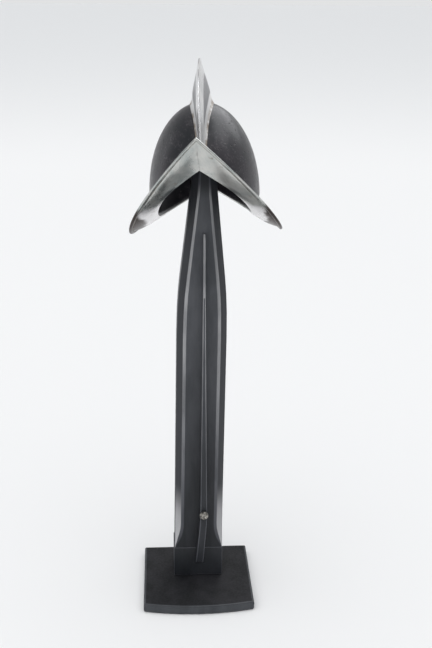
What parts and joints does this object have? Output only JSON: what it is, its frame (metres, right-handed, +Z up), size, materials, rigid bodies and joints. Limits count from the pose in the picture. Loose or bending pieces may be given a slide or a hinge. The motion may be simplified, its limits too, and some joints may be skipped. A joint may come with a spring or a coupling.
{
  "type": "comb morion helmet on a display stand",
  "caption": "Comb morion helmet with a black skull, bright crescent comb and peaked brim, on a plain upright display stand.",
  "frame": {"origin": "centre of the base plate's flat underside, on the floor", "axes": "+Z up; the stand's front faces -Y; the helmet on it is turned a little to -X and tipped back"},
  "size_m": [0.2677, 0.3267, 0.9904],
  "materials": {
    "skull_paint": "satin black paint, finely pitted",
    "comb_steel": "polished, streaked along its length",
    "brim_steel": "satin, cloudy, with brown stains by the rolled edge",
    "stand_black": "satin black stain, light along the arrises",
    "stud_steel": "dull"
  },
  "bodies": {
    "root": {"skull": "skull_paint", "comb": "comb_steel", "brim": "brim_steel", "head_rest": "stand_black", "post": "stand_black", "front_rib": "stand_black", "stud": "stud_steel", "foot_block": "stand_black", "base_plate": "stand_black"}
  },
  "joints": []
}
